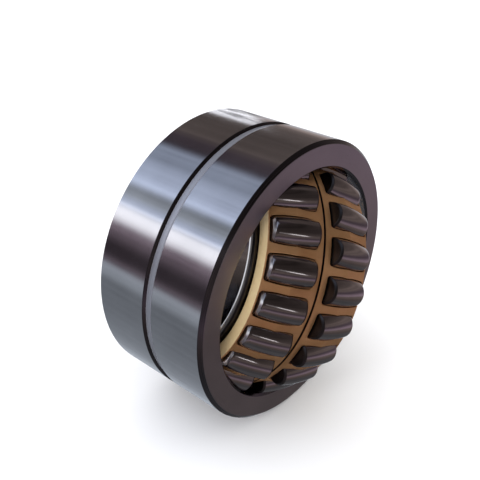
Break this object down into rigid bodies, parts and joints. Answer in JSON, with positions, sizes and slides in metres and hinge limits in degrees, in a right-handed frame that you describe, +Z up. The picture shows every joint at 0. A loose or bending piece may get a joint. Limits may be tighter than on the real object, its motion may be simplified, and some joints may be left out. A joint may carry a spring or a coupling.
{
  "type": "spherical roller bearing",
  "caption": "Spherical roller bearing with a grooved outer ring, two rows of barrel rollers in window cages and an inner ring, swivelled open to show the rollers.",
  "frame": {"origin": "the bearing's centre, which is the centre of the spherical raceway", "axes": "Y is the outer ring's axis, with the face that the picture shows towards -Y; +Z is up, and the ring stands on its outside surface"},
  "size_m": [0.1798, 0.1654, 0.1798],
  "materials": {
    "ring_steel": "ground",
    "roller_steel": "polished",
    "cage_brass": "machined"
  },
  "bodies": {
    "outer_ring": {"outer_ring": "ring_steel"},
    "guide_ring": {"guide_ring": "ring_steel"},
    "inner_ring": {"inner_ring": "ring_steel"},
    "cage_a": {"cage_a": "cage_brass"},
    "cage_b": {"cage_b": "cage_brass"},
    "roller_a_01": {"roller_a_01": "roller_steel"},
    "roller_a_02": {"roller_a_02": "roller_steel"},
    "roller_a_03": {"roller_a_03": "roller_steel"},
    "roller_a_04": {"roller_a_04": "roller_steel"},
    "roller_a_05": {"roller_a_05": "roller_steel"},
    "roller_a_06": {"roller_a_06": "roller_steel"},
    "roller_a_07": {"roller_a_07": "roller_steel"},
    "roller_a_08": {"roller_a_08": "roller_steel"},
    "roller_a_09": {"roller_a_09": "roller_steel"},
    "roller_a_10": {"roller_a_10": "roller_steel"},
    "roller_a_11": {"roller_a_11": "roller_steel"},
    "roller_a_12": {"roller_a_12": "roller_steel"},
    "roller_a_13": {"roller_a_13": "roller_steel"},
    "roller_a_14": {"roller_a_14": "roller_steel"},
    "roller_a_15": {"roller_a_15": "roller_steel"},
    "roller_a_16": {"roller_a_16": "roller_steel"},
    "roller_a_17": {"roller_a_17": "roller_steel"},
    "roller_a_18": {"roller_a_18": "roller_steel"},
    "roller_a_19": {"roller_a_19": "roller_steel"},
    "roller_a_20": {"roller_a_20": "roller_steel"},
    "roller_a_21": {"roller_a_21": "roller_steel"},
    "roller_a_22": {"roller_a_22": "roller_steel"},
    "roller_b_01": {"roller_b_01": "roller_steel"},
    "roller_b_02": {"roller_b_02": "roller_steel"},
    "roller_b_03": {"roller_b_03": "roller_steel"},
    "roller_b_04": {"roller_b_04": "roller_steel"},
    "roller_b_05": {"roller_b_05": "roller_steel"},
    "roller_b_06": {"roller_b_06": "roller_steel"},
    "roller_b_07": {"roller_b_07": "roller_steel"},
    "roller_b_08": {"roller_b_08": "roller_steel"},
    "roller_b_09": {"roller_b_09": "roller_steel"},
    "roller_b_10": {"roller_b_10": "roller_steel"},
    "roller_b_11": {"roller_b_11": "roller_steel"},
    "roller_b_12": {"roller_b_12": "roller_steel"},
    "roller_b_13": {"roller_b_13": "roller_steel"},
    "roller_b_14": {"roller_b_14": "roller_steel"},
    "roller_b_15": {"roller_b_15": "roller_steel"},
    "roller_b_16": {"roller_b_16": "roller_steel"},
    "roller_b_17": {"roller_b_17": "roller_steel"},
    "roller_b_18": {"roller_b_18": "roller_steel"},
    "roller_b_19": {"roller_b_19": "roller_steel"},
    "roller_b_20": {"roller_b_20": "roller_steel"},
    "roller_b_21": {"roller_b_21": "roller_steel"},
    "roller_b_22": {"roller_b_22": "roller_steel"}
  },
  "joints": [
    {"name": "swivel", "type": "hinge", "parent": "outer_ring", "child": "guide_ring", "pos_m": [0, 0, 0], "axis": [0.4399, 0, 0.898], "range_deg": [-155, 25]},
    {"name": "inner_ring_spin", "type": "hinge", "parent": "guide_ring", "child": "inner_ring", "pos_m": [0, 0, 0], "axis": [-0.8139, 0.4226, 0.3987], "continuous": true},
    {"name": "cage_a_spin", "type": "hinge", "parent": "guide_ring", "child": "cage_a", "pos_m": [0, 0, 0], "axis": [-0.8139, 0.4226, 0.3987], "continuous": true},
    {"name": "cage_b_spin", "type": "hinge", "parent": "guide_ring", "child": "cage_b", "pos_m": [0, 0, 0], "axis": [-0.8139, 0.4226, 0.3987], "continuous": true},
    {"name": "roller_a_01_spin", "type": "hinge", "parent": "cage_a", "child": "roller_a_01", "pos_m": [0.022, 0.06871, 0.01715], "axis": [-0.9169, 0.1916, 0.35], "continuous": true},
    {"name": "roller_a_02_spin", "type": "hinge", "parent": "cage_a", "child": "roller_a_02", "pos_m": [0.01484, 0.07264, -0.00163], "axis": [-0.8915, 0.1777, 0.4167], "continuous": true},
    {"name": "roller_a_03_spin", "type": "hinge", "parent": "cage_a", "child": "roller_a_03", "pos_m": [0.00529, 0.0713, -0.0197], "axis": [-0.8576, 0.1824, 0.4809], "continuous": true},
    {"name": "roller_a_04_spin", "type": "hinge", "parent": "cage_a", "child": "roller_a_04", "pos_m": [-0.00587, 0.0648, -0.03559], "axis": [-0.818, 0.2055, 0.5373], "continuous": true},
    {"name": "roller_a_05_spin", "type": "hinge", "parent": "cage_a", "child": "roller_a_05", "pos_m": [-0.01774, 0.05366, -0.04801], "axis": [-0.7758, 0.245, 0.5814], "continuous": true},
    {"name": "roller_a_06_spin", "type": "hinge", "parent": "cage_a", "child": "roller_a_06", "pos_m": [-0.02936, 0.03879, -0.05597], "axis": [-0.7346, 0.2978, 0.6097], "continuous": true},
    {"name": "roller_a_07_spin", "type": "hinge", "parent": "cage_a", "child": "roller_a_07", "pos_m": [-0.03979, 0.0214, -0.05881], "axis": [-0.6976, 0.3596, 0.6197], "continuous": true},
    {"name": "roller_a_08_spin", "type": "hinge", "parent": "cage_a", "child": "roller_a_08", "pos_m": [-0.04817, 0.00288, -0.05631], "axis": [-0.6678, 0.4253, 0.6109], "continuous": true},
    {"name": "roller_a_09_spin", "type": "hinge", "parent": "cage_a", "child": "roller_a_09", "pos_m": [-0.05384, -0.01525, -0.04866], "axis": [-0.6477, 0.4897, 0.5837], "continuous": true},
    {"name": "roller_a_10_spin", "type": "hinge", "parent": "cage_a", "child": "roller_a_10", "pos_m": [-0.05633, -0.03153, -0.03649], "axis": [-0.6388, 0.5475, 0.5405], "continuous": true},
    {"name": "roller_a_11_spin", "type": "hinge", "parent": "cage_a", "child": "roller_a_11", "pos_m": [-0.05545, -0.04464, -0.02079], "axis": [-0.642, 0.5941, 0.4847], "continuous": true},
    {"name": "roller_a_12_spin", "type": "hinge", "parent": "cage_a", "child": "roller_a_12", "pos_m": [-0.05125, -0.05352, -0.00282], "axis": [-0.6568, 0.6256, 0.4209], "continuous": true},
    {"name": "roller_a_13_spin", "type": "hinge", "parent": "cage_a", "child": "roller_a_13", "pos_m": [-0.04409, -0.05745, 0.01596], "axis": [-0.6823, 0.6395, 0.3543], "continuous": true},
    {"name": "roller_a_14_spin", "type": "hinge", "parent": "cage_a", "child": "roller_a_14", "pos_m": [-0.03455, -0.0561, 0.03403], "axis": [-0.7162, 0.6348, 0.2901], "continuous": true},
    {"name": "roller_a_15_spin", "type": "hinge", "parent": "cage_a", "child": "roller_a_15", "pos_m": [-0.02339, -0.0496, 0.04992], "axis": [-0.7558, 0.6117, 0.2337], "continuous": true},
    {"name": "roller_a_16_spin", "type": "hinge", "parent": "cage_a", "child": "roller_a_16", "pos_m": [-0.01152, -0.03847, 0.06235], "axis": [-0.7979, 0.5721, 0.1896], "continuous": true},
    {"name": "roller_a_17_spin", "type": "hinge", "parent": "cage_a", "child": "roller_a_17", "pos_m": [0.0001, -0.0236, 0.0703], "axis": [-0.8392, 0.5194, 0.1613], "continuous": true},
    {"name": "roller_a_18_spin", "type": "hinge", "parent": "cage_a", "child": "roller_a_18", "pos_m": [0.01053, -0.0062, 0.07314], "axis": [-0.8762, 0.4576, 0.1512], "continuous": true},
    {"name": "roller_a_19_spin", "type": "hinge", "parent": "cage_a", "child": "roller_a_19", "pos_m": [0.01891, 0.01231, 0.07064], "axis": [-0.906, 0.3919, 0.1601], "continuous": true},
    {"name": "roller_a_20_spin", "type": "hinge", "parent": "cage_a", "child": "roller_a_20", "pos_m": [0.02458, 0.03044, 0.06299], "axis": [-0.9261, 0.3275, 0.1873], "continuous": true},
    {"name": "roller_a_21_spin", "type": "hinge", "parent": "cage_a", "child": "roller_a_21", "pos_m": [0.02708, 0.04672, 0.05083], "axis": [-0.935, 0.2697, 0.2305], "continuous": true},
    {"name": "roller_a_22_spin", "type": "hinge", "parent": "cage_a", "child": "roller_a_22", "pos_m": [0.02619, 0.05983, 0.03512], "axis": [-0.9318, 0.2231, 0.2862], "continuous": true},
    {"name": "roller_b_01_spin", "type": "hinge", "parent": "cage_b", "child": "roller_b_01", "pos_m": [0.05364, 0.05049, 0.00847], "axis": [-0.6507, 0.617, 0.4426], "continuous": true},
    {"name": "roller_b_02_spin", "type": "hinge", "parent": "cage_b", "child": "roller_b_02", "pos_m": [0.04743, 0.05609, -0.01015], "axis": [-0.6728, 0.637, 0.3763], "continuous": true},
    {"name": "roller_b_03_spin", "type": "hinge", "parent": "cage_b", "child": "roller_b_03", "pos_m": [0.03862, 0.05649, -0.02855], "axis": [-0.7042, 0.6384, 0.3107], "continuous": true},
    {"name": "roller_b_04_spin", "type": "hinge", "parent": "cage_b", "child": "roller_b_04", "pos_m": [0.02794, 0.05167, -0.04525], "axis": [-0.7423, 0.6212, 0.2512], "continuous": true},
    {"name": "roller_b_05_spin", "type": "hinge", "parent": "cage_b", "child": "roller_b_05", "pos_m": [0.01624, 0.04202, -0.0589], "axis": [-0.784, 0.5868, 0.2025], "continuous": true},
    {"name": "roller_b_06_spin", "type": "hinge", "parent": "cage_b", "child": "roller_b_06", "pos_m": [0.00447, 0.02831, -0.06839], "axis": [-0.8259, 0.538, 0.1687], "continuous": true},
    {"name": "roller_b_07_spin", "type": "hinge", "parent": "cage_b", "child": "roller_b_07", "pos_m": [-0.00641, 0.01166, -0.07295], "axis": [-0.8647, 0.4787, 0.1525], "continuous": true},
    {"name": "roller_b_08_spin", "type": "hinge", "parent": "cage_b", "child": "roller_b_08", "pos_m": [-0.01552, -0.00658, -0.07221], "axis": [-0.8971, 0.4137, 0.1551], "continuous": true},
    {"name": "roller_b_09_spin", "type": "hinge", "parent": "cage_b", "child": "roller_b_09", "pos_m": [-0.02212, -0.02494, -0.06623], "axis": [-0.9207, 0.3483, 0.1764], "continuous": true},
    {"name": "roller_b_10_spin", "type": "hinge", "parent": "cage_b", "child": "roller_b_10", "pos_m": [-0.02569, -0.04193, -0.0555], "axis": [-0.9334, 0.2877, 0.2146], "continuous": true},
    {"name": "roller_b_11_spin", "type": "hinge", "parent": "cage_b", "child": "roller_b_11", "pos_m": [-0.02592, -0.05617, -0.04089], "axis": [-0.9342, 0.237, 0.2667], "continuous": true},
    {"name": "roller_b_12_spin", "type": "hinge", "parent": "cage_b", "child": "roller_b_12", "pos_m": [-0.02281, -0.0665, -0.02357], "axis": [-0.9231, 0.2002, 0.3284], "continuous": true},
    {"name": "roller_b_13_spin", "type": "hinge", "parent": "cage_b", "child": "roller_b_13", "pos_m": [-0.01659, -0.0721, -0.00496], "axis": [-0.9009, 0.1802, 0.3947], "continuous": true},
    {"name": "roller_b_14_spin", "type": "hinge", "parent": "cage_b", "child": "roller_b_14", "pos_m": [-0.00779, -0.0725, 0.01344], "axis": [-0.8696, 0.1788, 0.4603], "continuous": true},
    {"name": "roller_b_15_spin", "type": "hinge", "parent": "cage_b", "child": "roller_b_15", "pos_m": [0.0029, -0.06768, 0.03015], "axis": [-0.8315, 0.196, 0.5198], "continuous": true},
    {"name": "roller_b_16_spin", "type": "hinge", "parent": "cage_b", "child": "roller_b_16", "pos_m": [0.0146, -0.05803, 0.04379], "axis": [-0.7898, 0.2304, 0.5684], "continuous": true},
    {"name": "roller_b_17_spin", "type": "hinge", "parent": "cage_b", "child": "roller_b_17", "pos_m": [0.02636, -0.04432, 0.05328], "axis": [-0.7479, 0.2792, 0.6023], "continuous": true},
    {"name": "roller_b_18_spin", "type": "hinge", "parent": "cage_b", "child": "roller_b_18", "pos_m": [0.03724, -0.02767, 0.05784], "axis": [-0.7091, 0.3385, 0.6185], "continuous": true},
    {"name": "roller_b_19_spin", "type": "hinge", "parent": "cage_b", "child": "roller_b_19", "pos_m": [0.04635, -0.00943, 0.0571], "axis": [-0.6767, 0.4035, 0.6159], "continuous": true},
    {"name": "roller_b_20_spin", "type": "hinge", "parent": "cage_b", "child": "roller_b_20", "pos_m": [0.05296, 0.00893, 0.05113], "axis": [-0.6531, 0.4689, 0.5946], "continuous": true},
    {"name": "roller_b_21_spin", "type": "hinge", "parent": "cage_b", "child": "roller_b_21", "pos_m": [0.05652, 0.02592, 0.0404], "axis": [-0.6404, 0.5295, 0.5563], "continuous": true},
    {"name": "roller_b_22_spin", "type": "hinge", "parent": "cage_b", "child": "roller_b_22", "pos_m": [0.05675, 0.04016, 0.02578], "axis": [-0.6396, 0.5802, 0.5043], "continuous": true}
  ],
  "couplings": [
    {"joint": "cage_a_spin", "follows": "inner_ring_spin", "ratio": 0.43931},
    {"joint": "cage_b_spin", "follows": "inner_ring_spin", "ratio": 0.43931},
    {"joint": "roller_a_01_spin", "follows": "inner_ring_spin", "ratio": -3.9241},
    {"joint": "roller_a_02_spin", "follows": "inner_ring_spin", "ratio": -3.9241},
    {"joint": "roller_a_03_spin", "follows": "inner_ring_spin", "ratio": -3.9241},
    {"joint": "roller_a_04_spin", "follows": "inner_ring_spin", "ratio": -3.9241},
    {"joint": "roller_a_05_spin", "follows": "inner_ring_spin", "ratio": -3.9241},
    {"joint": "roller_a_06_spin", "follows": "inner_ring_spin", "ratio": -3.9241},
    {"joint": "roller_a_07_spin", "follows": "inner_ring_spin", "ratio": -3.9241},
    {"joint": "roller_a_08_spin", "follows": "inner_ring_spin", "ratio": -3.9241},
    {"joint": "roller_a_09_spin", "follows": "inner_ring_spin", "ratio": -3.9241},
    {"joint": "roller_a_10_spin", "follows": "inner_ring_spin", "ratio": -3.9241},
    {"joint": "roller_a_11_spin", "follows": "inner_ring_spin", "ratio": -3.9241},
    {"joint": "roller_a_12_spin", "follows": "inner_ring_spin", "ratio": -3.9241},
    {"joint": "roller_a_13_spin", "follows": "inner_ring_spin", "ratio": -3.9241},
    {"joint": "roller_a_14_spin", "follows": "inner_ring_spin", "ratio": -3.9241},
    {"joint": "roller_a_15_spin", "follows": "inner_ring_spin", "ratio": -3.9241},
    {"joint": "roller_a_16_spin", "follows": "inner_ring_spin", "ratio": -3.9241},
    {"joint": "roller_a_17_spin", "follows": "inner_ring_spin", "ratio": -3.9241},
    {"joint": "roller_a_18_spin", "follows": "inner_ring_spin", "ratio": -3.9241},
    {"joint": "roller_a_19_spin", "follows": "inner_ring_spin", "ratio": -3.9241},
    {"joint": "roller_a_20_spin", "follows": "inner_ring_spin", "ratio": -3.9241},
    {"joint": "roller_a_21_spin", "follows": "inner_ring_spin", "ratio": -3.9241},
    {"joint": "roller_a_22_spin", "follows": "inner_ring_spin", "ratio": -3.9241},
    {"joint": "roller_b_01_spin", "follows": "inner_ring_spin", "ratio": -3.9241},
    {"joint": "roller_b_02_spin", "follows": "inner_ring_spin", "ratio": -3.9241},
    {"joint": "roller_b_03_spin", "follows": "inner_ring_spin", "ratio": -3.9241},
    {"joint": "roller_b_04_spin", "follows": "inner_ring_spin", "ratio": -3.9241},
    {"joint": "roller_b_05_spin", "follows": "inner_ring_spin", "ratio": -3.9241},
    {"joint": "roller_b_06_spin", "follows": "inner_ring_spin", "ratio": -3.9241},
    {"joint": "roller_b_07_spin", "follows": "inner_ring_spin", "ratio": -3.9241},
    {"joint": "roller_b_08_spin", "follows": "inner_ring_spin", "ratio": -3.9241},
    {"joint": "roller_b_09_spin", "follows": "inner_ring_spin", "ratio": -3.9241},
    {"joint": "roller_b_10_spin", "follows": "inner_ring_spin", "ratio": -3.9241},
    {"joint": "roller_b_11_spin", "follows": "inner_ring_spin", "ratio": -3.9241},
    {"joint": "roller_b_12_spin", "follows": "inner_ring_spin", "ratio": -3.9241},
    {"joint": "roller_b_13_spin", "follows": "inner_ring_spin", "ratio": -3.9241},
    {"joint": "roller_b_14_spin", "follows": "inner_ring_spin", "ratio": -3.9241},
    {"joint": "roller_b_15_spin", "follows": "inner_ring_spin", "ratio": -3.9241},
    {"joint": "roller_b_16_spin", "follows": "inner_ring_spin", "ratio": -3.9241},
    {"joint": "roller_b_17_spin", "follows": "inner_ring_spin", "ratio": -3.9241},
    {"joint": "roller_b_18_spin", "follows": "inner_ring_spin", "ratio": -3.9241},
    {"joint": "roller_b_19_spin", "follows": "inner_ring_spin", "ratio": -3.9241},
    {"joint": "roller_b_20_spin", "follows": "inner_ring_spin", "ratio": -3.9241},
    {"joint": "roller_b_21_spin", "follows": "inner_ring_spin", "ratio": -3.9241},
    {"joint": "roller_b_22_spin", "follows": "inner_ring_spin", "ratio": -3.9241}
  ]
}
